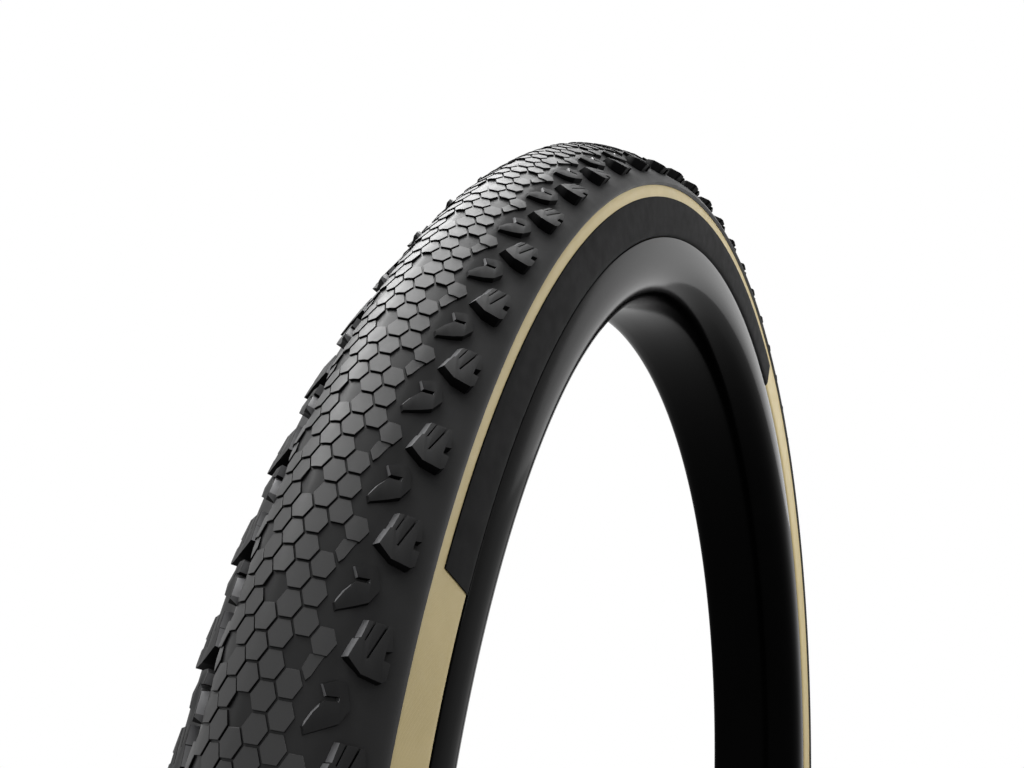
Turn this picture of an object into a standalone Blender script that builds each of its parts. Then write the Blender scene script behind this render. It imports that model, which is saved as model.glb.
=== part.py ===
"""Bicycle tire mounted on a plain deep rim, with its valve.

The wheel's axis is the world Y axis and the origin is the wheel's centre.
All sizes are in metres.
"""

import math

import bmesh
import bpy
from mathutils import Vector

# General
CLEARANCE = 0.0003  # gap left between touching pieces
PITCHES = 72  # tread pitches round the tire, one facet of every ring each
PATTERN_ANGLE = math.radians(163.12)  # where the first pitch starts
SINK = 0.0011  # how far a knob's root reaches into the tread
SMOOTH_ANGLE = math.radians(35)  # edges bent by more than this stay sharp

# Rim
BEAD_SEAT_RADIUS = 0.3107
FLANGE_HEIGHT = 0.0053
FLANGE_WALL = 0.0018
RIM_HALF_WIDTH = 0.0314
RIM_DEPTH = 0.0257  # from the bead seat in to the nose
FAR_SIDE_HEIGHT = 0.0205  # straight +Y side, below the bead seat
FAR_CORNER = 0.0026  # how far the nose stays in from the +Y side
NEAR_SIDE_HEIGHT = 0.0065  # straight -Y side, below the bead seat
NEAR_ROUND_HEIGHT = 0.0092  # first slope of the rounded -Y side
NEAR_ROUND_IN = 0.0027
NEAR_TURN_HEIGHT = 0.0058  # second slope of the rounded -Y side
NEAR_TURN_IN = 0.0051
NOSE_NEAR_HALF_WIDTH = 0.0120
TAPE_THICKNESS = 0.0005

# Tire
TIRE_HALF_WIDTH = 0.0319  # casing, at the sidewall
SIDEWALL_HEIGHT = 0.0242  # from the rim's edge out to the tread's edge
SIDEWALL_THICKNESS = 0.0018
BEAD_WIDTH = 0.0040
SIDEWALL_FOOT = 0.0016  # height over which the sidewall swells out past the rim's edge
TREAD_OVERHANG = 0.0013  # how far the tread's edge stands out past the sidewall
TREAD_LIP = 0.0009  # thickness of the tread's edge
TREAD_RISE = 0.0226  # from the tread's edge out to the crown
CROWN_HALF_WIDTH = 0.0036
CENTRE_HALF_WIDTH = 0.0145
CENTRE_DROP = 0.0058
SHOULDER_IN = 0.0026  # shoulder line, in from the tread's edge
SHOULDER_RISE = 0.0045  # shoulder line, out from the tread's edge
TREAD_THICKNESS = 0.0080  # at the crown
SHOULDER_THICKNESS = 0.0019
SHOULDER_FACING = (0.85, 0.53)  # direction square to the shoulder, as (half width, radius)
BELT_HALF_WIDTH = 0.0120
BELT_THICKNESS = 0.0008
CASING_THICKNESS = 0.0016

# Tread knobs
HOOK_HEIGHT = 0.0024
FAN_HEIGHT = 0.0034
KNOB_TAIL = 0.0004  # height where a knob's ramp runs out

# Label
LABEL_THICKNESS = 0.0004
LABEL_INSET = 0.0004  # up from where the sidewall stands out past the rim
LABEL_STRIPE = 0.0056  # tan stripe left bare between the label and the tread
LABEL_START = math.radians(64.9)
LABEL_END = math.radians(159.3)
LABEL_STEPS = 20

# Valve
VALVE_SIDES = 12
PLUNGER_SIDES = 10
DRILL_MARGIN = 0.003  # how far the valve hole's cutter reaches past the piece
STEM_RADIUS = 0.0030
STEM_BORE = 0.0019
STEM_REACH = 0.0215  # past the rim's nose
FOOT_RADIUS = 0.0055
FOOT_THICKNESS = 0.0018
BASE_SEAL_RADIUS = 0.0068
BASE_SEAL_THICKNESS = 0.0022
NUT_RADIUS = 0.0072
NUT_THICKNESS = 0.0042
NUT_SEAL_RADIUS = 0.0056
NUT_SEAL_THICKNESS = 0.0014
CORE_LENGTH = 0.0160
CORE_GASKET_THICKNESS = 0.0008
CORE_REACH = 0.0055  # core body standing out of the stem
CORE_HEAD_RADIUS = 0.00255
CORE_BORE = 0.0011
PLUNGER_RADIUS = 0.0007
PLUNGER_REACH = 0.0075  # past the core body
PLUNGER_HEAD_RADIUS = 0.0015
PLUNGER_HEAD_THICKNESS = 0.0012
PLUNGER_SEAL_THICKNESS = 0.0009
LOCK_NUT_RADIUS = 0.0021
LOCK_NUT_THICKNESS = 0.0022
LOCK_NUT_LIFT = 0.0022  # how far the loosened nut stands off the core body
CAP_WALL = 0.0011
CAP_COVER = 0.0060  # how far the cap reaches down over the stem
CAP_HEADROOM = 0.0012
CAP_TIP_SHARE = 0.6  # the cap's tip, as a share of its radius

for old in list(bpy.data.objects):
    bpy.data.objects.remove(old, do_unlink=True)

parts = bpy.data.collections.new("bicycle_tire")
cutters = bpy.data.collections.new("cutters")
bpy.context.scene.collection.children.link(parts)
bpy.context.scene.collection.children.link(cutters)
cutters.hide_render = True


def material(name, colour, roughness, metallic=0.0):
    made = bpy.data.materials.new(name)
    made.use_nodes = True
    shader = made.node_tree.nodes["Principled BSDF"]
    shader.inputs["Base Color"].default_value = (*colour, 1.0)
    shader.inputs["Roughness"].default_value = roughness
    shader.inputs["Metallic"].default_value = metallic
    return made


TREAD_RUBBER = material("tread_rubber", (0.030, 0.031, 0.033), 0.55)
TAN_CASING = material("tan_casing", (0.62, 0.43, 0.24), 0.70)
BEAD_RUBBER = material("bead_rubber", (0.020, 0.020, 0.021), 0.65)
BELT_FABRIC = material("belt_fabric", (0.42, 0.33, 0.20), 0.85)
LABEL_RUBBER = material("label_rubber", (0.018, 0.018, 0.020), 0.42)
RIM_BLACK = material("rim_black", (0.012, 0.012, 0.014), 0.28, 0.3)
TAPE_FILM = material("tape_film", (0.55, 0.50, 0.34), 0.45)
SEAL_RUBBER = material("seal_rubber", (0.02, 0.02, 0.02), 0.60)
BLACK_ALLOY = material("black_alloy", (0.03, 0.03, 0.032), 0.35, 0.8)
BRASS = material("brass", (0.66, 0.50, 0.22), 0.35, 1.0)
CAP_PLASTIC = material("cap_plastic", (0.02, 0.02, 0.022), 0.40)

# The rings are turned about their own Z axis, and this empty lays that axis along -Y,
# so that the top of a profile is the sidewall on the -Y side.
wheel = bpy.data.objects.new("wheel_axis", None)
parts.objects.link(wheel)
wheel.rotation_euler = (math.radians(90), 0, 0)

valve = bpy.data.objects.new("valve_axis", None)
parts.objects.link(valve)


def place(obj, look, parent, where=parts):
    obj.parent = parent
    obj.data.materials.append(look)
    where.objects.link(obj)
    return obj


def turn(obj, steps, angle=2 * math.pi):
    screw = obj.modifiers.new("turn", "SCREW")
    screw.axis = "Z"
    screw.angle = angle
    screw.steps = steps
    screw.render_steps = steps
    screw.use_merge_vertices = angle >= 2 * math.pi
    screw.merge_threshold = 0.00001
    return screw


def outline_mesh(name, points, closed=True):
    """A mesh of one line of points (radius, height) in the XZ plane."""
    mesh = bpy.data.meshes.new(name)
    count = len(points)
    edges = [(i, i + 1) for i in range(count - 1)]
    if closed:
        edges.append((count - 1, 0))
    mesh.from_pydata([(r, 0, z) for r, z in points], edges, [])
    return mesh


def ring(name, look, outer, inner):
    """A ring symmetric about the wheel's middle plane. outer and inner are half profiles of
    (half width, radius), each from the edge in to the middle."""
    loop = [(r, w) for w, r in outer]
    loop += [(r, -w) for w, r in reversed(outer)]
    loop += [(r, -w) for w, r in inner]
    loop += [(r, w) for w, r in reversed(inner)]
    return turned_ring(name, look, loop)


def turned_ring(name, look, loop):
    obj = place(bpy.data.objects.new(name, outline_mesh(name, loop)), look, wheel)
    obj.rotation_euler = (0, 0, PATTERN_ANGLE)
    turn(obj, PITCHES)
    return obj


def boolean(obj, other, operation):
    modifier = obj.modifiers.new(operation.lower(), "BOOLEAN")
    modifier.operation = operation
    modifier.object = other
    modifier.solver = "EXACT"
    return modifier


def helper(obj):
    obj.hide_render = True
    obj.display_type = "WIRE"
    return obj


def between(a, b, share):
    return tuple(p + (q - p) * share for p, q in zip(a, b))


def inward(point, towards, depth):
    """point moved by depth along the direction towards."""
    length = math.hypot(*towards)
    return (point[0] - towards[0] / length * depth, point[1] - towards[1] / length * depth)


# Radii and half widths that several pieces share
edge_radius = BEAD_SEAT_RADIUS + FLANGE_HEIGHT
nose_radius = BEAD_SEAT_RADIUS - RIM_DEPTH
flange_inside = RIM_HALF_WIDTH - FLANGE_WALL
tape_top = BEAD_SEAT_RADIUS + CLEARANCE + TAPE_THICKNESS
tread_edge_radius = edge_radius + SIDEWALL_HEIGHT
crown_radius = tread_edge_radius + TREAD_RISE
tread_half_width = TIRE_HALF_WIDTH + TREAD_OVERHANG

# Rim: flanges and a flat bed outside. The nose is set off towards the +Y side, which is
# straight, and the -Y side rounds over to it.
near_round = BEAD_SEAT_RADIUS - NEAR_SIDE_HEIGHT - NEAR_ROUND_HEIGHT
rim_loop = [
    (edge_radius, RIM_HALF_WIDTH),
    (edge_radius, flange_inside),
    (BEAD_SEAT_RADIUS, flange_inside),
    (BEAD_SEAT_RADIUS, -flange_inside),
    (edge_radius, -flange_inside),
    (edge_radius, -RIM_HALF_WIDTH),
    (BEAD_SEAT_RADIUS - FAR_SIDE_HEIGHT, -RIM_HALF_WIDTH),
    (nose_radius, FAR_CORNER - RIM_HALF_WIDTH),
    (nose_radius, NOSE_NEAR_HALF_WIDTH),
    (near_round - NEAR_TURN_HEIGHT, RIM_HALF_WIDTH - NEAR_ROUND_IN - NEAR_TURN_IN),
    (near_round, RIM_HALF_WIDTH - NEAR_ROUND_IN),
    (BEAD_SEAT_RADIUS - NEAR_SIDE_HEIGHT, RIM_HALF_WIDTH),
]
rim = turned_ring("rim", RIM_BLACK, rim_loop)

# Tape across the whole bed, under both beads
tape_half = flange_inside - CLEARANCE
tape = ring(
    "rim_tape",
    TAPE_FILM,
    [(tape_half, tape_top)],
    [(tape_half, BEAD_SEAT_RADIUS + CLEARANCE)],
)

# Tread: crown, centre band, knob strip and thin edge, with the inside one thickness deeper
crown = (CROWN_HALF_WIDTH, crown_radius)
centre = (CENTRE_HALF_WIDTH, crown_radius - CENTRE_DROP)
shoulder = (tread_half_width - SHOULDER_IN, tread_edge_radius + SHOULDER_RISE)
tread_edge = (tread_half_width, tread_edge_radius)
belt_seat = (BELT_HALF_WIDTH, crown_radius - TREAD_THICKNESS)
under_shoulder = inward(shoulder, SHOULDER_FACING, SHOULDER_THICKNESS)
tread_inside = [
    (tread_half_width - TREAD_LIP, tread_edge_radius + CLEARANCE),
    under_shoulder,
    belt_seat,
]
tread = ring("tread", TREAD_RUBBER, [tread_edge, shoulder, centre, crown], tread_inside)

# Belt: a flat band under the crown
belt_top = belt_seat[1] - CLEARANCE
belt_low = belt_top - BELT_THICKNESS
belt = ring("breaker_belt", BELT_FABRIC, [(BELT_HALF_WIDTH, belt_top)], [(BELT_HALF_WIDTH, belt_low)])

# Casing: under the belt and along the tread's inside, then down the sidewall and into the rim
lean = (belt_seat[1] - under_shoulder[1], under_shoulder[0] - belt_seat[0])
slope = lean[1] / lean[0]
casing_gap = CLEARANCE * math.hypot(1, slope)
casing_crown_radius = belt_low - CLEARANCE
casing_crown = (
    BELT_HALF_WIDTH + (belt_seat[1] - casing_crown_radius - casing_gap / slope) * slope,
    casing_crown_radius,
)
wall_top = (TIRE_HALF_WIDTH, tread_edge_radius - TREAD_LIP)
wall_foot = (TIRE_HALF_WIDTH, edge_radius + SIDEWALL_FOOT)
bead_outside = flange_inside - CLEARANCE
bead_top = edge_radius + CLEARANCE
casing_outside = [
    (bead_outside, bead_top),
    wall_foot,
    wall_top,
    inward(under_shoulder, SHOULDER_FACING, CLEARANCE),
    casing_crown,
]
casing_inside = [
    (bead_outside - SIDEWALL_THICKNESS, bead_top),
    (TIRE_HALF_WIDTH - SIDEWALL_THICKNESS, wall_top[1]),
    (casing_crown[0] - CASING_THICKNESS / 2, casing_crown_radius - CASING_THICKNESS),
]
casing = ring("casing", TAN_CASING, casing_outside, casing_inside)

# Beads: a three-sided foot each side, on the tape and against the flange, under the casing
for name, side in (("bead_left", 1), ("bead_right", -1)):
    low = tape_top + CLEARANCE
    high = bead_top - CLEARANCE
    loop = [
        (high, side * bead_outside),
        (low, side * bead_outside),
        (low, side * (bead_outside - BEAD_WIDTH)),
    ]
    if side > 0:
        loop.reverse()
    turned_ring(name, BEAD_RUBBER, loop)


# Shoulder knobs. An outline's points are (across, along, height): across runs from the centre
# band's edge to the shoulder line, along runs through one pitch, and height is the knob's top.
HOOK = [
    (0.03, 0.068, HOOK_HEIGHT * 0.85),
    (0.22, 0.340, HOOK_HEIGHT * 0.55),
    (0.14, 0.436, HOOK_HEIGHT * 0.45),
    (0.47, 0.492, KNOB_TAIL),
    (0.58, 0.276, HOOK_HEIGHT * 0.8),
    (0.48, 0.142, HOOK_HEIGHT),
]
FAN = [
    (0.88, 0.545, FAN_HEIGHT),
    (0.59, 0.546, FAN_HEIGHT),
    (0.36, 0.610, FAN_HEIGHT * 0.9),
    (0.45, 0.985, KNOB_TAIL),
    (0.84, 0.985, KNOB_TAIL),
]


def knob(made, outline, pitch, side):
    start = -2 * math.pi * pitch / PITCHES
    end = -2 * math.pi * (pitch + 1) / PITCHES
    spots = []
    for across, along, height in outline:
        width, radius = between(centre, shoulder, across)
        first = Vector((math.cos(start) * radius, math.sin(start) * radius, side * width))
        last = Vector((math.cos(end) * radius, math.sin(end) * radius, side * width))
        spots.append((first.lerp(last, along), height))
    middle = (start + end) / 2
    width_gain = shoulder[0] - centre[0]
    drop = centre[1] - shoulder[1]
    out = Vector((math.cos(middle) * width_gain, math.sin(middle) * width_gain, side * drop))
    out.normalize()
    root = made.faces.new([made.verts.new(spot - out * SINK) for spot, _ in spots])
    grown = bmesh.ops.extrude_face_region(made, geom=[root])
    tops = [v for v in grown["geom"] if isinstance(v, bmesh.types.BMVert)]
    for spot, height in spots:
        nearest = min(tops, key=lambda v: (v.co - spot).length)
        nearest.co = spot + out * height


knobs = bmesh.new()
for pitch in range(PITCHES):
    for side in (1, -1):
        for outline in (HOOK, FAN):
            knob(knobs, outline, pitch, side)
bmesh.ops.recalc_face_normals(knobs, faces=knobs.faces)
knob_mesh = bpy.data.meshes.new("shoulder_knobs")
knobs.to_mesh(knob_mesh)
knobs.free()
knob_rows = helper(place(bpy.data.objects.new("shoulder_knobs", knob_mesh), TREAD_RUBBER, wheel, cutters))
knob_rows.rotation_euler = (0, 0, PATTERN_ANGLE)
boolean(tread, knob_rows, "UNION")

# Label: a thin band on the -Y sidewall between two radial ends
label_low = edge_radius + SIDEWALL_FOOT + LABEL_INSET
label_high = tread_edge_radius - LABEL_STRIPE
label_face = TIRE_HALF_WIDTH + CLEARANCE
label = place(
    bpy.data.objects.new(
        "sidewall_label",
        outline_mesh("sidewall_label", [(label_high, label_face), (label_low, label_face)], False),
    ),
    LABEL_RUBBER,
    wheel,
)
label.rotation_euler = (0, 0, LABEL_START)
turn(label, LABEL_STEPS, LABEL_END - LABEL_START)
thick = label.modifiers.new("thickness", "SOLIDIFY")
thick.thickness = LABEL_THICKNESS
thick.offset = -1.0


# The valve stands at the bottom of the wheel and points up to the hub. Its profiles are
# (radius, height) about the world Z axis, heights measured up from the wheel's lowest bed.
def turned(name, look, height, loop, sides=VALVE_SIDES):
    """A turned piece of the valve. loop starts at the top of the outer side."""
    obj = place(bpy.data.objects.new(name, outline_mesh(name, loop)), look, valve)
    obj.location = (0, 0, height)
    turn(obj, sides)
    return obj


def tube_loop(outer, inner, low, high):
    return [(outer, high), (outer, low), (inner, low), (inner, high)]


facet = math.cos(math.pi / PITCHES)
bed = -tape_top
nose = -nose_radius * facet
hole_radius = STEM_RADIUS + CLEARANCE

# The base seal rests on the tape inside the tire, and the stem's foot on the seal
seal_top = bed - CLEARANCE
foot_top = seal_top - BASE_SEAL_THICKNESS - CLEARANCE
stem_top = nose + STEM_REACH
turned(
    "valve_base_seal",
    SEAL_RUBBER,
    0,
    tube_loop(BASE_SEAL_RADIUS, hole_radius, seal_top - BASE_SEAL_THICKNESS, seal_top),
)
stem = turned(
    "valve_stem",
    BLACK_ALLOY,
    0,
    [
        (STEM_RADIUS, stem_top),
        (STEM_RADIUS, foot_top),
        (FOOT_RADIUS, foot_top),
        (FOOT_RADIUS, foot_top - FOOT_THICKNESS),
        (STEM_BORE, foot_top - FOOT_THICKNESS),
        (STEM_BORE, stem_top),
    ],
)

# Nut and its seal on the rim's nose
nut_seal_low = nose + CLEARANCE
nut_low = nut_seal_low + NUT_SEAL_THICKNESS + CLEARANCE
turned(
    "rim_nut_seal",
    SEAL_RUBBER,
    0,
    tube_loop(NUT_SEAL_RADIUS, hole_radius, nut_seal_low, nut_seal_low + NUT_SEAL_THICKNESS),
)
turned(
    "rim_nut",
    BLACK_ALLOY,
    nut_low,
    tube_loop(NUT_RADIUS, hole_radius, 0, NUT_THICKNESS),
)

# Core: body in the stem's bore, plunger through it with its seal below and lock nut above
core_top = stem_top + CORE_REACH
core_low = core_top - CORE_LENGTH
core_body_radius = STEM_BORE - CLEARANCE
core_gasket_low = stem_top + CLEARANCE
core_head_low = core_gasket_low + CORE_GASKET_THICKNESS + CLEARANCE
turned(
    "valve_core_gasket",
    SEAL_RUBBER,
    0,
    tube_loop(
        CORE_HEAD_RADIUS,
        core_body_radius + CLEARANCE,
        core_gasket_low,
        core_gasket_low + CORE_GASKET_THICKNESS,
    ),
)
turned(
    "valve_core_body",
    BRASS,
    0,
    [
        (core_body_radius, core_top),
        (CORE_HEAD_RADIUS, core_top),
        (CORE_HEAD_RADIUS, core_head_low),
        (core_body_radius, core_head_low),
        (core_body_radius, core_low),
        (CORE_BORE, core_low),
        (CORE_BORE, core_top),
    ],
)
plunger_seal_top = core_low - CLEARANCE
plunger_head_top = plunger_seal_top - PLUNGER_SEAL_THICKNESS - CLEARANCE
plunger_top = core_top + PLUNGER_REACH
turned(
    "plunger_seal",
    SEAL_RUBBER,
    0,
    tube_loop(
        PLUNGER_HEAD_RADIUS,
        PLUNGER_RADIUS + CLEARANCE,
        plunger_seal_top - PLUNGER_SEAL_THICKNESS,
        plunger_seal_top,
    ),
    PLUNGER_SIDES,
)
plunger = turned(
    "valve_plunger",
    BRASS,
    0,
    [
        (0, plunger_top),
        (PLUNGER_RADIUS, plunger_top),
        (PLUNGER_RADIUS, plunger_head_top),
        (PLUNGER_HEAD_RADIUS, plunger_head_top),
        (PLUNGER_HEAD_RADIUS, plunger_head_top - PLUNGER_HEAD_THICKNESS),
        (0, plunger_head_top - PLUNGER_HEAD_THICKNESS),
    ],
    PLUNGER_SIDES,
)
lock_nut_low = core_top + LOCK_NUT_LIFT
turned(
    "plunger_lock_nut",
    BRASS,
    lock_nut_low,
    tube_loop(LOCK_NUT_RADIUS, PLUNGER_RADIUS + CLEARANCE, 0, LOCK_NUT_THICKNESS),
    PLUNGER_SIDES,
)

# Cap over the core, down over the stem's end
cap_bore = STEM_RADIUS + CLEARANCE
cap_low = stem_top - CAP_COVER
cap_ceiling = plunger_top + CAP_HEADROOM
cap_outer = cap_bore + CAP_WALL
cap_tip = cap_outer * CAP_TIP_SHARE
turned(
    "valve_cap",
    CAP_PLASTIC,
    cap_low,
    [
        (0, cap_ceiling + CAP_WALL - cap_low),
        (cap_tip, cap_ceiling + CAP_WALL - cap_low),
        (cap_outer, stem_top + CORE_REACH - cap_low),
        (cap_outer, 0),
        (cap_bore, 0),
        (cap_bore, stem_top + CORE_REACH - cap_low),
        (cap_tip - CAP_WALL / 2, cap_ceiling - cap_low),
        (0, cap_ceiling - cap_low),
    ],
)

# Holes for the stem through the tape and the rim
for piece, low, high in ((tape, bed, bed), (rim, bed, nose)):
    length = high - low + 2 * DRILL_MARGIN
    bpy.ops.mesh.primitive_cylinder_add(vertices=VALVE_SIDES, radius=hole_radius, depth=length)
    drill = helper(bpy.context.object)
    drill.name = piece.name + "_valve_hole"
    drill.location = (0, 0, (low + high) / 2)
    for home in list(drill.users_collection):
        home.objects.unlink(drill)
    cutters.objects.link(drill)
    boolean(piece, drill, "DIFFERENCE")


def smooth_by_angle():
    """A node group that shades faces smooth and keeps the edges past SMOOTH_ANGLE sharp."""
    group = bpy.data.node_groups.new("smooth_by_angle", "GeometryNodeTree")
    group.interface.new_socket("Geometry", in_out="INPUT", socket_type="NodeSocketGeometry")
    group.interface.new_socket("Geometry", in_out="OUTPUT", socket_type="NodeSocketGeometry")
    start = group.nodes.new("NodeGroupInput")
    end = group.nodes.new("NodeGroupOutput")
    smooth = group.nodes.new("GeometryNodeSetShadeSmooth")
    bend = group.nodes.new("GeometryNodeInputMeshEdgeAngle")
    sharp = group.nodes.new("FunctionNodeCompare")
    sharp.operation = "GREATER_THAN"
    sharp.inputs["B"].default_value = SMOOTH_ANGLE
    crease = group.nodes.new("GeometryNodeSetShadeSmooth")
    crease.domain = "EDGE"
    crease.inputs["Shade Smooth"].default_value = False
    group.links.new(start.outputs["Geometry"], smooth.inputs["Geometry"])
    group.links.new(smooth.outputs["Geometry"], crease.inputs["Geometry"])
    group.links.new(bend.outputs["Unsigned Angle"], sharp.inputs["A"])
    group.links.new(sharp.outputs["Result"], crease.inputs["Selection"])
    group.links.new(crease.outputs["Geometry"], end.inputs["Geometry"])
    return group


# Every piece is shaded smooth across its facets
shading = smooth_by_angle()
for piece in parts.objects:
    if piece.type == "MESH":
        piece.modifiers.new("shading", "NODES").node_group = shading
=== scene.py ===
"""Looks of the bicycle tire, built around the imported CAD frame.

The wheel's axis is Y, its centre is the origin, and the photographed side faces -Y.
Sizes here are in millimetres and are turned into metres where a mesh is made.
"""

import math

import bmesh
import bpy
import numpy as np
from mathutils import Matrix, Vector


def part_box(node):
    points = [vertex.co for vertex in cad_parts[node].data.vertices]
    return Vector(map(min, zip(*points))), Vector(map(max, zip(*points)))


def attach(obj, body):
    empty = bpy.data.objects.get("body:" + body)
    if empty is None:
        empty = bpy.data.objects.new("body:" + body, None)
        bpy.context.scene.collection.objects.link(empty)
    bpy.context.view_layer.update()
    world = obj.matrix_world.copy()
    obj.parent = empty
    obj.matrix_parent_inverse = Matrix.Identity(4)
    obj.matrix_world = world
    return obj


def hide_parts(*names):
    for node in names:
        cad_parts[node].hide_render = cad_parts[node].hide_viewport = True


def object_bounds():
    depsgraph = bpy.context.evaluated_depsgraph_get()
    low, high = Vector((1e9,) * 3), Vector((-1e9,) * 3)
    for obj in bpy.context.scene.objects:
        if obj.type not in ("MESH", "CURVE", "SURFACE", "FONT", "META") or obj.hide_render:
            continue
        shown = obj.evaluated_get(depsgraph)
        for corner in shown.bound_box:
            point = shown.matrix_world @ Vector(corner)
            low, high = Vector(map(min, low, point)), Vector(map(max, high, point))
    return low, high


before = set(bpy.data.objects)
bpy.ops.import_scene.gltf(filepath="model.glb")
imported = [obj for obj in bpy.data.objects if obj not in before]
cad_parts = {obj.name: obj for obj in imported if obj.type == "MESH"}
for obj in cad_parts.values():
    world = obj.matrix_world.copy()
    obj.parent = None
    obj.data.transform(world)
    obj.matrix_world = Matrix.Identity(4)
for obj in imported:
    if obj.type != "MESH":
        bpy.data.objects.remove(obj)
cad_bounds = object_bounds()

MM = 0.001

# Tread section, sized from the CAD tread's box
CAD_MARGIN = 0.05  # the visual tread stays this far inside the box
tread_corner = np.array(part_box("tread")[1]) / MM
CROWN_RADIUS = tread_corner[0] - CAD_MARGIN
TREAD_HALF_WIDTH = tread_corner[1] - CAD_MARGIN
EDGE_RADIUS = 341.1  # corner of the tread's edge
LIP_RADIUS = 339.9  # where the tread's edge meets the tan sidewall
SECTION_POWER = 1.45  # roundness of the tread's section
GROOVE_DEPTH = 0.85  # depth of the tread's floor under the tops of the scales
SHOULDER_FADE = 14.5  # the floor comes up to the section over this much of the shoulder
# The far shoulder, which the photograph shows a little narrower, is tucked in from here outwards
TUCK_START = 10.0
TUCK_SPAN = 14.0
TUCK_IN = 1.0
TUCK_DOWN = 1.6
# Between the knobs the shoulder's floor lies deeper still
SHOULDER_DROP = (1.3, 2.8)  # near side, far side
DROP_START = 16.0
DROP_SPAN = 7.0
DROP_END_SPAN = 12.0
# Underside of the tread's floor, from the near lip to the far one, as (y, radius)
UNDERSIDE = [
    (-32.1, LIP_RADIUS),
    (-28.0, 342.0),
    (-12.0, 355.3),
    (12.0, 355.3),
    (28.0, 341.5),
    (31.3, LIP_RADIUS),
]

# Tread pattern. A place on it is (across, along): across is measured along the section from the
# crown in millimetres, along is measured round the wheel in pitches from the first hook's tip.
PITCHES = 72
PATTERN_START = 2.8445  # angle of the first hook's tip, in radians
PITCH = CROWN_RADIUS * 2 * math.pi / PITCHES
ROWS = 4  # rows of scales in a pitch
COLUMN_STEP = 5.65
SCALE_PHASE = 0.10
SCALE_LENGTH = PITCH / ROWS
SCALE_GROOVE = 0.62
SCALE_SHRINK = (0.55, 0.25, 0.5)  # shares of the groove that a scale's points, sides and ends lose
SCALE_TAIL = 0.4
ROOT = -0.7  # how far a block reaches under the tread's floor
HOOK_HEIGHT = (1.2, 2.5)  # near side, far side
HOOK_TAIL = (0.8, 2.0)
FAN_HEIGHT = (2.4, 1.7)
FAN_TAIL = (0.4, 1.4)
FAN_FLARE = (1.2, 0.0)  # the fans' outer ends stand higher by this
TAIL_DROP = 0.3  # share of the shoulder's drop that a block's tail goes down with
# How far the tops of the knob walls that face the crown stand back, near side and far side
HOOK_DRAFT = (1.1, 0.6)
FAN_DRAFT = (2.1, 0.6)
DRAFT_END = 26.0  # walls further from the crown stand upright
SLIDE_LEAST = 0.3  # least sine of the angle at which a corner slides along its other wall
# Rounding of the blocks' top edges: width, steps
SCALE_EDGE = (0.08, 1)
KNOB_EDGE = (0.12, 2)
EDGE_PROFILE = 0.6
CUTS = 11  # cuts across the blocks on each side of the crown

# Which faces of the blocks take which finish. Two finishes are painted light: a darker rubber on
# walls is painted shade, and a pale rubber on knob walls facing the crown is a painted highlight
TOP, PAINTED_SHADE, PAINTED_HIGHLIGHT, KNOB = range(4)
FACES_CROWN = 0.65  # a wall faces the crown from this share of its normal
UPRIGHT = 0.5  # a face is a wall below this share of its normal
HIGHLIGHT_WALLS_END = 26.0  # the knob walls painted with a highlight lie inside this
HIGHLIGHT_WALLS_AREA = 2.6  # and are larger than this
GLOSSY_RADIUS = 356.5  # the tread's floor turns dull from here
DULL_RADIUS = 349.0  # to here

# Outlines of the knobs. The fan's runs into its two sipes and the notch in its outer end.
HOOK = [
    (17.0, -0.021),
    (16.0, 0.051),
    (17.6, 0.168),
    (19.8, 0.274),
    (23.3, 0.282),
    (23.3, 0.318),
    (20.0, 0.309),
    (18.4, 0.398),
    (21.6, 0.448),
    (25.3, 0.449),
    (27.5, 0.242),
    (25.5, 0.116),
]
FAN = [
    (33.8, 0.511),
    (32.9, 0.482),
    (27.7, 0.519),
    (21.7, 0.645),
    (23.3, 0.815),
    (23.8, 0.825),
    (24.8, 0.988),
    (28.3, 0.978),
    (26.8, 0.805),
    (27.1, 0.800),
    (28.7, 0.977),
    (31.5, 0.971),
    (28.2, 0.660),
    (28.65, 0.657),
    (32.05, 0.969),
    (33.0, 0.966),
    (34.2, 0.759),
    (32.6, 0.747),
    (32.4, 0.668),
    (34.1, 0.657),
]
WEDGE = [(18.5, 0.631), (16.1, 0.438), (15.0, 0.394), (13.3, 0.486), (14.4, 0.607)]

# Label on the sidewall
LABEL_START = math.radians(64.9)
LABEL_END = math.radians(159.3)
LABEL_LOW = 317.0
LABEL_HIGH = 334.6
LABEL_STEPS = 140

# Meshes
RING_STEPS = 360
SECTION_STEPS = 2000
SHARP = 35  # edges bent by more degrees than this are sharp
BLOCK_SHARP = 28
RIM_SHARP = 40

# Camera, from the photograph: place in millimetres, angles in radians
CAMERA_PLACE = Vector((-584.473, -171.252, 95.383))
CAMERA_YAW = 1.1444242
CAMERA_PITCH = 0.2452297
CAMERA_ROLL = 0.0799481
CAMERA_LENS = 38.614
SENSOR_WIDTH = 36
CLIP_START = 0.01

# Floor and light, in metres and watts
FLOOR_REACH = 12.0
FLOOR_GAP = 0.002  # the floor lies this far under the tire
FLOOR_GREY = 0.38
FLOOR_ROUGHNESS = 0.7
WHITE_START = 0.6  # from here outwards the floor turns to plain white
WHITE_END = 2.6
WHITE_NEAR = 0.55  # share of plain white nearer than that
FILL = 0.18  # light from all round
LAMPS = {
    # place, target, size, power
    "top": ((-0.2, 0.62, 1.5), (-0.15, 0.1, 0.2), (2.0, 1.3), 50),
    "front": ((0.3, -0.85, 0.4), (0.05, 0, 0.3), (0.6, 0.4), 6.5),
    "right": ((1.7, -0.45, 1.0), (0.05, 0, 0.2), (0.8, 1.2), 4.5),
}

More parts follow.
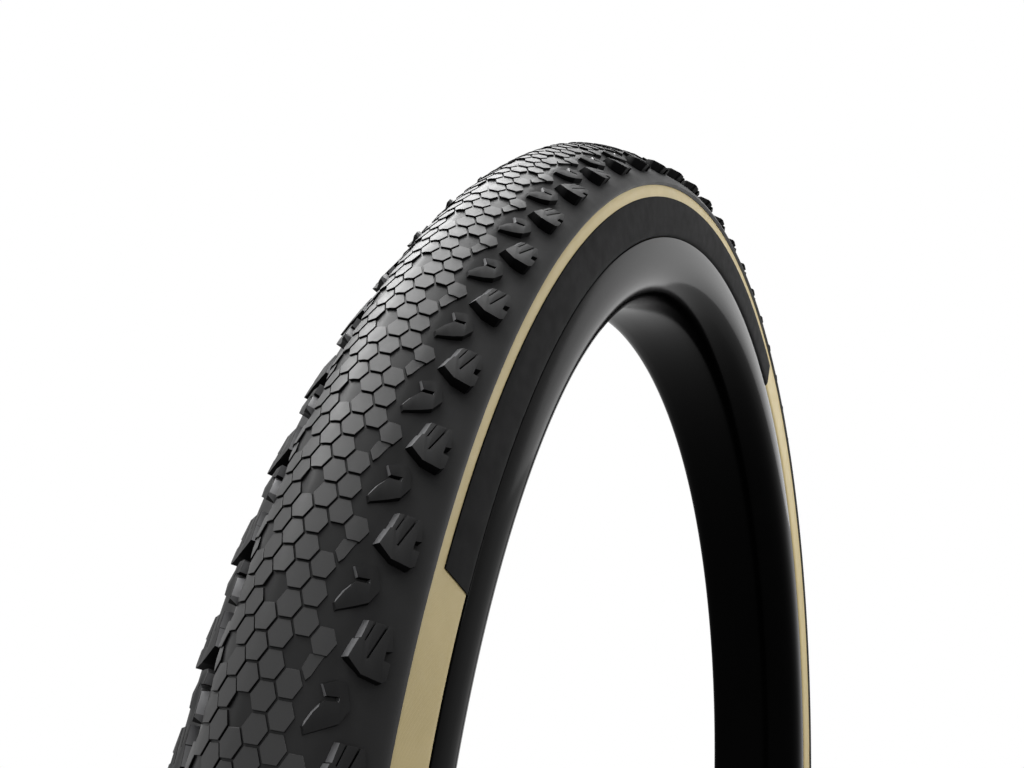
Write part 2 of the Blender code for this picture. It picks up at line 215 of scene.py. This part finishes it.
# Section of the tread's tops, sampled finely from crown to edge
half = np.sin(np.linspace(0, math.pi / 2, SECTION_STEPS)) * TREAD_HALF_WIDTH
rise = CROWN_RADIUS - EDGE_RADIUS
fall = (half / TREAD_HALF_WIDTH) ** SECTION_POWER
section = EDGE_RADIUS + rise * (1 - fall) ** (1 / SECTION_POWER)
arc = np.concatenate([[0], np.cumsum(np.hypot(np.diff(half), np.diff(section)))])
tangent_y = np.gradient(half, arc)
tangent_r = np.gradient(section, arc)
FULL_ARC = arc[-1]


def smoothstep(value):
    value = np.clip(value, 0, 1)
    return value * value * (3 - 2 * value)


def shoulder_drop(across):
    """How much deeper the floor lies between the knobs."""
    near_crown = smoothstep((np.abs(across) - DROP_START) / DROP_SPAN)
    near_edge = smoothstep((FULL_ARC - np.abs(across)) / DROP_END_SPAN)
    return np.where(across > 0, SHOULDER_DROP[1], SHOULDER_DROP[0]) * near_crown * near_edge


def floor_depth(across):
    groove = GROOVE_DEPTH * np.clip((FULL_ARC - np.abs(across)) / SHOULDER_FADE, 0, 1)
    return groove + shoulder_drop(across)


def on_tread(across, along, height):
    """Points in metres for arrays of pattern places, here with along in millimetres, and heights
    above the tread's floor."""
    side = np.sign(across)
    away = np.minimum(np.abs(across), FULL_ARC)
    normal_y = -np.interp(away, arc, tangent_r)
    normal_r = np.interp(away, arc, tangent_y)
    lift = height - floor_depth(side * away)
    tuck = np.where(side > 0, smoothstep((away - TUCK_START) / TUCK_SPAN), 0)
    y = side * (np.interp(away, arc, half) + lift * normal_y - TUCK_IN * tuck)
    r = np.interp(away, arc, section) + lift * normal_r - TUCK_DOWN * tuck
    angle = PATTERN_START - along / CROWN_RADIUS
    return np.stack([r * np.cos(angle), y, r * np.sin(angle)], -1) * MM


def add_mesh(name, points, faces, look, sharp=SHARP):
    mesh = bpy.data.meshes.new(name)
    mesh.from_pydata([tuple(p) for p in points], [], faces)
    mesh.validate()
    tidy = bmesh.new()
    tidy.from_mesh(mesh)
    bmesh.ops.recalc_face_normals(tidy, faces=tidy.faces)
    tidy.to_mesh(mesh)
    tidy.free()
    mesh.shade_smooth()
    mesh.set_sharp_from_angle(angle=math.radians(sharp))
    mesh.materials.append(look)
    obj = bpy.data.objects.new(name, mesh)
    bpy.context.scene.collection.objects.link(obj)
    return obj


def lathe(name, loop, look, sharp=SHARP):
    """A ring about Y from a closed loop of (y, radius)."""
    loop = np.array(loop, float)
    count = len(loop)
    angles = np.arange(RING_STEPS) * 2 * math.pi / RING_STEPS
    points = np.stack(
        [
            loop[None, :, 1] * np.cos(angles)[:, None],
            np.broadcast_to(loop[None, :, 0], (RING_STEPS, count)),
            loop[None, :, 1] * np.sin(angles)[:, None],
        ],
        -1,
    ).reshape(-1, 3)
    faces = []
    for i in range(RING_STEPS):
        j = (i + 1) % RING_STEPS
        for k in range(count):
            m = (k + 1) % count
            faces.append((i * count + k, i * count + m, j * count + m, j * count + k))
    return add_mesh(name, points * MM, faces, look, sharp)


# Materials
COLOUR_SCALE = 30  # noise scale of slow changes of colour
GLOSS_SCALE = 160  # noise scale of changes of gloss
COLOUR_SPAN = (0.35, 0.65)  # span of the noise over which a colour changes
GLOSS_SPAN = (0.3, 0.7)  # span of the noise over which gloss changes
GRAIN_DETAIL = 2.0
GRAIN_DEPTH = 0.0002  # in metres
RUBBER_GRAIN = (2500, 0.10)  # scale, strength
METAL_GRAIN = (4000, 0.08)
BLUE = 1.03


def new_look(name, colour, roughness, metallic=0.0):
    look = bpy.data.materials.new(name)
    look.use_nodes = True
    shader = look.node_tree.nodes["Principled BSDF"]
    shader.inputs["Base Color"].default_value = (*colour, 1)
    shader.inputs["Roughness"].default_value = roughness
    shader.inputs["Metallic"].default_value = metallic
    return look, look.node_tree, shader


def link(tree, a, b):
    tree.links.new(a, b)


def math_node(tree, operation, first, second=None):
    node = tree.nodes.new("ShaderNodeMath")
    node.operation = operation
    for socket, value in zip(node.inputs, (first, second)):
        if value is None:
            continue
        if isinstance(value, (int, float)):
            socket.default_value = value
        else:
            link(tree, value, socket)
    return node.outputs[0]


def noise(tree, scale, detail=4.0, rough=0.6):
    place = tree.nodes.new("ShaderNodeTexCoord")
    node = tree.nodes.new("ShaderNodeTexNoise")
    node.inputs["Scale"].default_value = scale
    node.inputs["Detail"].default_value = detail
    node.inputs["Roughness"].default_value = rough
    link(tree, place.outputs["Object"], node.inputs["Vector"])
    return node.outputs["Fac"]


def ramp(tree, value, low, high):
    """Noise turned into a colour between two."""
    node = tree.nodes.new("ShaderNodeValToRGB")
    for element, at, colour in zip(node.color_ramp.elements, COLOUR_SPAN, (low, high)):
        element.position = at
        element.color = (*colour, 1)
    link(tree, value, node.inputs["Fac"])
    return node.outputs["Color"]


def map_range(tree, value, source, target):
    node = tree.nodes.new("ShaderNodeMapRange")
    names = ("From Min", "From Max", "To Min", "To Max")
    for name, number in zip(names, (*source, *target)):
        node.inputs[name].default_value = number
    link(tree, value, node.inputs["Value"])
    return node.outputs["Result"]


def bump(tree, shader, value, strength, distance):
    node = tree.nodes.new("ShaderNodeBump")
    node.inputs["Strength"].default_value = strength
    node.inputs["Distance"].default_value = distance
    link(tree, value, node.inputs["Height"])
    link(tree, node.outputs["Normal"], shader.inputs["Normal"])


def plain_look(name, dark, light, rough, grain, specular=0.5, metallic=0.0):
    """A moulded surface: slow change of colour, change of gloss, and a fine grain.
    rough is (least, most) roughness and grain is (scale, strength)."""
    look, tree, shader = new_look(name, light, rough[1], metallic)
    shader.inputs["Specular IOR Level"].default_value = specular
    colour = ramp(tree, noise(tree, COLOUR_SCALE), dark, light)
    link(tree, colour, shader.inputs["Base Color"])
    gloss = map_range(tree, noise(tree, GLOSS_SCALE), GLOSS_SPAN, rough)
    link(tree, gloss, shader.inputs["Roughness"])
    bump(tree, shader, noise(tree, grain[0], GRAIN_DETAIL), grain[1], GRAIN_DEPTH)
    return look


def grey(value):
    """A grey with a trace of blue."""
    return (value, value, value * BLUE)


BLACK_RUBBER = (grey(0.009), grey(0.013))

rubber = plain_look("tread_rubber", *BLACK_RUBBER, (0.42, 0.50), RUBBER_GRAIN, 0.47)
# Near-black, nearly unreflecting rubber for the blocks' walls: painted shade, darker than the tops
painted_shade_look = plain_look(
    "painted_shade_rubber", grey(0.003), grey(0.005), (0.55, 0.65), RUBBER_GRAIN, 0.03
)
# Pale grey rubber for the knob walls that face the crown: a painted highlight
painted_highlight_look = plain_look("painted_highlight_rubber", grey(0.15), grey(0.19), (0.36, 0.44), RUBBER_GRAIN, 0.5)
knob_look = plain_look("knob_rubber", *BLACK_RUBBER, (0.50, 0.60), RUBBER_GRAIN, 0.15)
label_look = plain_look(
    "label_rubber", grey(0.006), grey(0.009), (0.66, 0.76), (3000, 0.06), 0.03
)
rim_look = plain_look(
    "rim_black", grey(0.0006), grey(0.0009), (0.11, 0.14), (900, 0.006), 0.016
)
seal_look = plain_look("seal_rubber", grey(0.015), grey(0.022), (0.50, 0.65), (3000, 0.15), 0.3)
alloy_look = plain_look(
    "black_alloy", grey(0.025), grey(0.035), (0.28, 0.40), METAL_GRAIN, metallic=0.8
)
brass_look = plain_look(
    "brass", (0.58, 0.42, 0.17), (0.70, 0.54, 0.25), (0.25, 0.40), METAL_GRAIN, metallic=1.0
)
plastic_look = plain_look(
    "cap_plastic", grey(0.014), grey(0.020), (0.34, 0.44), (3000, 0.08), 0.3
)
tape_look = plain_look(
    "tape_film", (0.50, 0.45, 0.30), (0.58, 0.53, 0.37), (0.35, 0.50), (2000, 0.10)
)


def place_parts(tree):
    """X, Y and Z of a place on the object, in metres."""
    place = tree.nodes.new("ShaderNodeTexCoord")
    parts = tree.nodes.new("ShaderNodeSeparateXYZ")
    link(tree, place.outputs["Object"], parts.inputs[0])
    return parts.outputs


def radius_of(tree):
    """Distance from the wheel's axis, in metres."""
    parts = place_parts(tree)
    squares = [math_node(tree, "MULTIPLY", parts[k], parts[k]) for k in "XZ"]
    return math_node(tree, "SQRT", math_node(tree, "ADD", *squares))


def tread_floor_look():
    """The tread's rubber between the blocks, duller on the shoulders than at the crown."""
    dull, glossy, uneven = 0.58, 0.40, 0.04
    look, tree, shader = new_look("floor_rubber", grey(0.010), 0.5)
    shader.inputs["Specular IOR Level"].default_value = 0.24
    colour = ramp(tree, noise(tree, COLOUR_SCALE), *BLACK_RUBBER)
    link(tree, colour, shader.inputs["Base Color"])
    reach = (DULL_RADIUS * MM, GLOSSY_RADIUS * MM)
    gloss = map_range(tree, radius_of(tree), reach, (dull, glossy))
    change = map_range(tree, noise(tree, GLOSS_SCALE), GLOSS_SPAN, (-uneven, uneven))
    link(tree, math_node(tree, "ADD", gloss, change), shader.inputs["Roughness"])
    bump(tree, shader, noise(tree, RUBBER_GRAIN[0], GRAIN_DETAIL), RUBBER_GRAIN[1], GRAIN_DEPTH)
    return look


def skin_wall_look():
    """Tan rubber over crossed casing threads."""
    spacing = 0.9 * MM  # between the threads
    strength, depth = 0.12, 0.0001  # of the threads' relief
    grain_share = 2.0  # of the fine grain between the threads
    look, tree, shader = new_look("tan_casing", (0.45, 0.36, 0.175), 0.6)
    colour = ramp(tree, noise(tree, 45, 6.0), (0.42, 0.335, 0.155), (0.46, 0.37, 0.175))
    link(tree, colour, shader.inputs["Base Color"])
    gloss = map_range(tree, noise(tree, 200), GLOSS_SPAN, (0.46, 0.54))
    link(tree, gloss, shader.inputs["Roughness"])
    shader.inputs["Specular IOR Level"].default_value = 0.25
    parts = place_parts(tree)
    angle = math_node(tree, "ARCTAN2", parts["Z"], parts["X"])
    round_way = math_node(tree, "MULTIPLY", angle, EDGE_RADIUS * MM)
    out_way = radius_of(tree)
    crossed = []
    for operation in ("ADD", "SUBTRACT"):
        lay = math_node(tree, operation, round_way, out_way)
        wave = math_node(tree, "MULTIPLY", lay, 2 * math.pi / spacing)
        crossed.append(math_node(tree, "SINE", wave))
    weave = math_node(tree, "ADD", *crossed)
    grain = math_node(tree, "MULTIPLY", noise(tree, 1500, 3.0), grain_share)
    bump(tree, shader, math_node(tree, "ADD", weave, grain), strength, depth)
    return look


tan_look = skin_wall_look()


def tread_floor():
    """Loop of the tread's floor: the section lowered by the groove depth, closed underneath."""
    fine_reach, edge_steps = 30, 16
    reach = np.concatenate(
        [
            np.linspace(0, fine_reach, fine_reach + 1),
            np.linspace(fine_reach + 1, FULL_ARC, edge_steps),
        ]
    )
    across = np.concatenate([-reach[:0:-1], reach])
    top = on_tread(across, np.zeros_like(across), np.zeros_like(across)) / MM
    top = [(p[1], math.hypot(p[0], p[2])) for p in top]
    return list(reversed(top)) + UNDERSIDE


# Blocks of one pitch, drawn flat in (across, along, height) and bent onto the tread afterwards
flat = bmesh.new()


def wall_normal(outline, i):
    """Outward direction of the wall from corner i to the next one."""
    (s0, u0), (s1, u1) = outline[i], outline[(i + 1) % len(outline)]
    area = sum(
        a[0] * b[1] - b[0] * a[1] for a, b in zip(outline, outline[1:] + outline[:1])
    )
    return Vector((u1 - u0, s0 - s1)).normalized() * math.copysign(1, area)


def lean_back(outline, i, draft):
    """How far the top of corner i stands back, if a wall beside it faces the crown."""
    none = Vector((0, 0))
    if draft == 0 or abs(outline[i][0]) > DRAFT_END:
        return none
    back = Vector((math.copysign(draft, outline[i][0]), 0))
    walls = [wall_normal(outline, i - 1), wall_normal(outline, i)]
    facing = [normal for normal in walls if normal.dot(back) < 0]
    if len(facing) != 1:
        return back if facing else none
    # One wall leans and the other stands upright, so the corner slides along the upright one
    upright = walls[1] if facing[0] is walls[0] else walls[0]
    slide = Vector((-upright.y, upright.x))
    steep = facing[0].dot(slide)
    if abs(steep) < SLIDE_LEAST:
        return facing[0] * facing[0].dot(back)
    return slide * facing[0].dot(back) / steep


def block(outline, high, tail, edge, draft=0.0, flare=0.0):
    """A block standing on the floor, high where along is least and ramping to tail where it is
    most. Walls that face the crown lean back by draft, and the end away from the crown rises by
    flare. edge is the width and the steps of the rounding round its top."""
    start = min(u for _, u in outline)
    length = max(u for _, u in outline) - start
    inner = min(abs(s) for s, _ in outline)
    width = max(abs(s) for s, _ in outline) - inner
    root = flat.faces.new([flat.verts.new((s, u, ROOT)) for s, u in outline])
    lean = [lean_back(outline, i, draft) for i in range(len(outline))]
    grown = bmesh.ops.extrude_face_region(flat, geom=[root])
    tops = [v for v in grown["geom"] if isinstance(v, bmesh.types.BMVert)]
    top_faces = [f for f in grown["geom"] if isinstance(f, bmesh.types.BMFace)]
    for vert in tops:
        corner = min(
            range(len(outline)),
            key=lambda i: math.hypot(outline[i][0] - vert.co.x, outline[i][1] - vert.co.y),
        )
        share = (vert.co.y - start) / length
        away = abs(vert.co.x)
        vert.co.z = high + (tail - high) * share + flare * (away - inner) / width
        vert.co.z += shoulder_drop(vert.co.x) * (1 - TAIL_DROP * share)
        vert.co.x += lean[corner].x
        vert.co.y += lean[corner].y
    bmesh.ops.bevel(
        flat,
        geom=list(top_faces[0].edges),
        offset=edge[0],
        segments=edge[1],
        profile=EDGE_PROFILE,
        affect="EDGES",
        clamp_overlap=True,
    )


def both_sides(outline, highs, tails, edge, drafts=(0.0, 0.0), flares=(0.0, 0.0)):
    """The same block on the near and on the far side of the crown, each with its own shape."""
    near = [(-s, u) for s, u in outline]
    far = [(s, u) for s, u in reversed(outline)]
    for side, places in enumerate((near, far)):
        block(places, highs[side], tails[side], edge, drafts[side], flares[side])


def scale_outline(across, along):
    """A six-sided scale with flat ends, shrunk by the groove round it."""
    point = COLUMN_STEP * 2 / 3 - SCALE_GROOVE * SCALE_SHRINK[0]
    side = COLUMN_STEP / 3 - SCALE_GROOVE * SCALE_SHRINK[1]
    end = SCALE_LENGTH / 2 - SCALE_GROOVE * SCALE_SHRINK[2]
    corners = [(-side, -end), (side, -end), (point, 0), (side, end), (-side, end), (-point, 0)]
    return [(across + s, along + u) for s, u in corners]


def scales(outline):
    """The same scale on both sides of the crown."""
    both_sides(outline, (GROOVE_DEPTH,) * 2, (SCALE_TAIL,) * 2, SCALE_EDGE)


def knob_outline(places):
    return [(across, along * PITCH) for across, along in places]


# Each pitch leaves out one scale at the crown and one on each side, where the floor shows, and
# has one further out beside that
for row in range(ROWS):
    even = (SCALE_PHASE + row / ROWS) * PITCH
    odd = even + SCALE_LENGTH / 2
    if row != 0:
        block(scale_outline(0, even), GROOVE_DEPTH, SCALE_TAIL, SCALE_EDGE)
    scales(scale_outline(COLUMN_STEP, odd))
    if row != 2:
        scales(scale_outline(2 * COLUMN_STEP, even))
    else:
        scales(scale_outline(3 * COLUMN_STEP, odd))
scales(knob_outline(WEDGE))
scale_faces = set(flat.faces)
both_sides(knob_outline(HOOK), HOOK_HEIGHT, HOOK_TAIL, KNOB_EDGE, HOOK_DRAFT)
both_sides(knob_outline(FAN), FAN_HEIGHT, FAN_TAIL, KNOB_EDGE, FAN_DRAFT, FAN_FLARE)
for face in flat.faces:
    face.material_index = TOP if face in scale_faces else KNOB

# Cuts across the blocks let them follow the section's curve
for cut in range(-CUTS, CUTS + 1):
    bmesh.ops.bisect_plane(
        flat,
        geom=flat.verts[:] + flat.edges[:] + flat.faces[:],
        plane_co=(cut * COLUMN_STEP / 2, 0, 0),
        plane_no=(1, 0, 0),
    )
bmesh.ops.recalc_face_normals(flat, faces=flat.faces)
flat.verts.index_update()
pitch_points = np.array([v.co for v in flat.verts])
pitch_faces = [[v.index for v in f.verts] for f in flat.faces]


def finish_of(face):
    """Which of the four finishes a face of a block takes: walls get a darker rubber as painted
    shade, apart from the long walls of the knobs that face the crown, which get a pale rubber as a
    painted highlight."""
    across = face.calc_center_median().x
    to_crown = -face.normal.x * math.copysign(1, across)
    if face.material_index == KNOB and to_crown > FACES_CROWN:
        return PAINTED_HIGHLIGHT if abs(across) < HIGHLIGHT_WALLS_END and face.calc_area() > HIGHLIGHT_WALLS_AREA else KNOB
    return PAINTED_SHADE if abs(face.normal.z) < UPRIGHT else face.material_index


pitch_finishes = [finish_of(face) for face in flat.faces]
flat.free()

block_points = []
block_faces = []
for pitch in range(PITCHES):
    base = pitch * len(pitch_points)
    block_points.append(
        on_tread(pitch_points[:, 0], pitch_points[:, 1] + pitch * PITCH, pitch_points[:, 2])
    )
    block_faces += [[base + i for i in face] for face in pitch_faces]

floor_ring = lathe("tread_floor", tread_floor(), tread_floor_look())
blocks = add_mesh(
    "tread_blocks", np.concatenate(block_points), block_faces, rubber, BLOCK_SHARP
)
for look in (painted_shade_look, painted_highlight_look, knob_look):
    blocks.data.materials.append(look)
blocks.data.polygons.foreach_set("material_index", pitch_finishes * PITCHES)
for piece in (floor_ring, blocks):
    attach(piece, "wheel")
    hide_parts("tread")

# Near half of the tan sidewall's loop, from crown to bead and back inside, as (y, radius)
casing_half = [
    (-8.0, 354.0),
    (-13.2, 354.0),
    (-27.6, 341.7),
    (-30.9, 340.3),
    (-31.6, 340.1),
    (-31.95, 339.6),
    (-32.0, 337.5),
    (-32.0, 333.0),
    (-32.0, 326.0),
    (-31.95, 320.0),
    (-31.7, 317.8),
    (-31.1, 316.9),
    (-30.3, 316.5),
    (-29.4, 316.35),
    (-27.6, 316.35),
    (-30.0, 338.5),
    (-12.6, 352.4),
]
casing_loop = casing_half + [(-y, r) for y, r in reversed(casing_half)]
casing_ring = lathe("casing_skin", casing_loop, tan_look)
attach(casing_ring, "wheel")
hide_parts("casing")

# The rim's nose is set off to +Y, where its side is straight
rim_loop = [
    (-29.6, 310.7),
    (-29.6, 315.7),
    (-29.9, 316.0),
    (-31.0, 316.0),
    (-31.35, 315.7),
    (-31.45, 315.0),
    (-31.6, 311.0),
    (-31.6, 307.0),
    (-31.4, 303.5),
    (-30.9, 300.3),
    (-30.1, 297.5),
    (-28.9, 295.0),
    (-26.8, 292.0),
    (-23.8, 289.4),
    (-20.0, 287.6),
    (-15.5, 286.2),
    (-10.0, 285.4),
    (-4.0, 285.05),
    (4.0, 285.0),
    (14.0, 285.0),
    (22.0, 285.05),
    (26.0, 285.4),
    (28.8, 286.4),
    (30.4, 288.0),
    (31.2, 290.3),
    (31.5, 293.5),
    (31.55, 300.0),
    (31.5, 308.0),
    (31.45, 315.0),
    (31.35, 315.7),
    (31.0, 316.0),
    (29.9, 316.0),
    (29.6, 315.7),
    (29.6, 310.7),
]
rim_ring = lathe("rim_shell", rim_loop, rim_look, RIM_SHARP)
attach(rim_ring, "wheel")
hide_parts("rim")


def label_band():
    """A thin band with rounded edges, bare."""
    profile = [
        (-30.4, LABEL_LOW - 0.85),
        (-31.2, LABEL_LOW - 0.65),
        (-31.8, LABEL_LOW),
        (-32.15, LABEL_LOW + 0.9),
        (-32.42, LABEL_LOW + 2.6),
        (-32.5, LABEL_LOW + 6.0),
        (-32.52, LABEL_HIGH - 5.0),
        (-32.5, LABEL_HIGH - 0.6),
        (-32.4, LABEL_HIGH - 0.15),
        (-32.05, LABEL_HIGH),
    ]
    count = len(profile)
    points = []
    faces = []
    for i in range(LABEL_STEPS + 1):
        angle = LABEL_START + (LABEL_END - LABEL_START) * i / LABEL_STEPS
        for y, r in profile:
            points.append((r * math.cos(angle) * MM, y * MM, r * math.sin(angle) * MM))
    for i in range(LABEL_STEPS):
        for k in range(count):
            m = (k + 1) % count
            faces.append((i * count + k, i * count + m, (i + 1) * count + m, (i + 1) * count + k))
    faces.append(tuple(range(count)))
    faces.append(tuple(LABEL_STEPS * count + k for k in reversed(range(count))))
    return add_mesh("label_band", points, faces, label_look)


label = label_band()
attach(label, "wheel")
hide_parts("sidewall_label")

# The rest keeps its CAD solid with a finished surface
finishes = {
    "bead_left": seal_look,
    "bead_right": seal_look,
    "breaker_belt": tan_look,
    "rim_tape": tape_look,
    "valve_stem": alloy_look,
    "valve_base_seal": seal_look,
    "rim_nut_seal": seal_look,
    "rim_nut": alloy_look,
    "valve_core_body": brass_look,
    "valve_core_gasket": seal_look,
    "valve_plunger": brass_look,
    "plunger_seal": seal_look,
    "plunger_lock_nut": brass_look,
    "valve_cap": plastic_look,
}
for node, look in finishes.items():
    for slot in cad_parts[node].material_slots:
        slot.material = look

# Floor
floor_level = cad_bounds[0][2] - FLOOR_GAP
floor_corners = [(-1, -1), (1, -1), (1, 1), (-1, 1)]
floor_mesh = bpy.data.meshes.new("floor")
floor_mesh.from_pydata(
    [(x * FLOOR_REACH, y * FLOOR_REACH, floor_level) for x, y in floor_corners],
    [],
    [(0, 1, 2, 3)],
)
floor = bpy.data.objects.new("floor", floor_mesh)
bpy.context.scene.collection.objects.link(floor)
floor_look, floor_tree, floor_shader = new_look("floor", (FLOOR_GREY,) * 3, FLOOR_ROUGHNESS)
floor_mesh.materials.append(floor_look)


def background_ray(tree):
    """1 on the rays that should meet the white background: seen, mirrored or refracted."""
    rays = tree.nodes.new("ShaderNodeLightPath")
    seen = math_node(tree, "MAXIMUM", rays.outputs["Is Camera Ray"], rays.outputs["Is Glossy Ray"])
    return math_node(tree, "MAXIMUM", seen, rays.outputs["Is Transmission Ray"])


# Near the object the floor keeps its shadow, and further off it turns to plain white
floor_place = floor_tree.nodes.new("ShaderNodeTexCoord")
distance = floor_tree.nodes.new("ShaderNodeVectorMath")
distance.operation = "LENGTH"
link(floor_tree, floor_place.outputs["Object"], distance.inputs[0])
white = map_range(
    floor_tree, distance.outputs["Value"], (WHITE_START, WHITE_END), (WHITE_NEAR, 1.0)
)
glow = floor_tree.nodes.new("ShaderNodeEmission")
mix = floor_tree.nodes.new("ShaderNodeMixShader")
share = math_node(floor_tree, "MULTIPLY", background_ray(floor_tree), white)
link(floor_tree, share, mix.inputs[0])
link(floor_tree, floor_shader.outputs[0], mix.inputs[1])
link(floor_tree, glow.outputs[0], mix.inputs[2])
link(floor_tree, mix.outputs[0], floor_tree.nodes["Material Output"].inputs["Surface"])

# Light: a white background on the rays that meet it, a dim fill on the others, and soft lamps
world = bpy.data.worlds.new("studio")
bpy.context.scene.world = world
world.use_nodes = True
sky = world.node_tree.nodes["Background"]
lit = math_node(world.node_tree, "MULTIPLY", background_ray(world.node_tree), 1 - FILL)
link(world.node_tree, math_node(world.node_tree, "ADD", lit, FILL), sky.inputs["Strength"])
sky.inputs["Color"].default_value = (1, 1, 1, 1)

for name, (place, target, size, power) in LAMPS.items():
    lamp = bpy.data.lights.new(name, "AREA")
    lamp.shape = "RECTANGLE"
    lamp.size, lamp.size_y = size
    lamp.energy = power
    lamp_object = bpy.data.objects.new(name, lamp)
    lamp_object.location = place
    aim = Vector(target) - Vector(place)
    lamp_object.rotation_euler = aim.to_track_quat("-Z", "Y").to_euler()
    bpy.context.scene.collection.objects.link(lamp_object)

# Camera
camera_data = bpy.data.cameras.new("camera")
camera_data.sensor_width = SENSOR_WIDTH
camera_data.sensor_fit = "HORIZONTAL"
camera_data.lens = CAMERA_LENS
camera_data.clip_start = CLIP_START
camera = bpy.data.objects.new("camera", camera_data)
bpy.context.scene.collection.objects.link(camera)
forward = Vector(
    (
        math.cos(CAMERA_PITCH) * math.sin(CAMERA_YAW),
        math.cos(CAMERA_PITCH) * math.cos(CAMERA_YAW),
        math.sin(CAMERA_PITCH),
    )
)
level = forward.cross(Vector((0, 0, 1))).normalized()
upright = level.cross(forward)
right = math.cos(CAMERA_ROLL) * level + math.sin(CAMERA_ROLL) * upright
up = math.cos(CAMERA_ROLL) * upright - math.sin(CAMERA_ROLL) * level
turn = Matrix((right, up, -forward)).transposed()
camera.matrix_world = Matrix.Translation(CAMERA_PLACE * MM) @ turn.to_4x4()
bpy.context.scene.camera = camera
bpy.context.scene.view_settings.view_transform = "Standard"
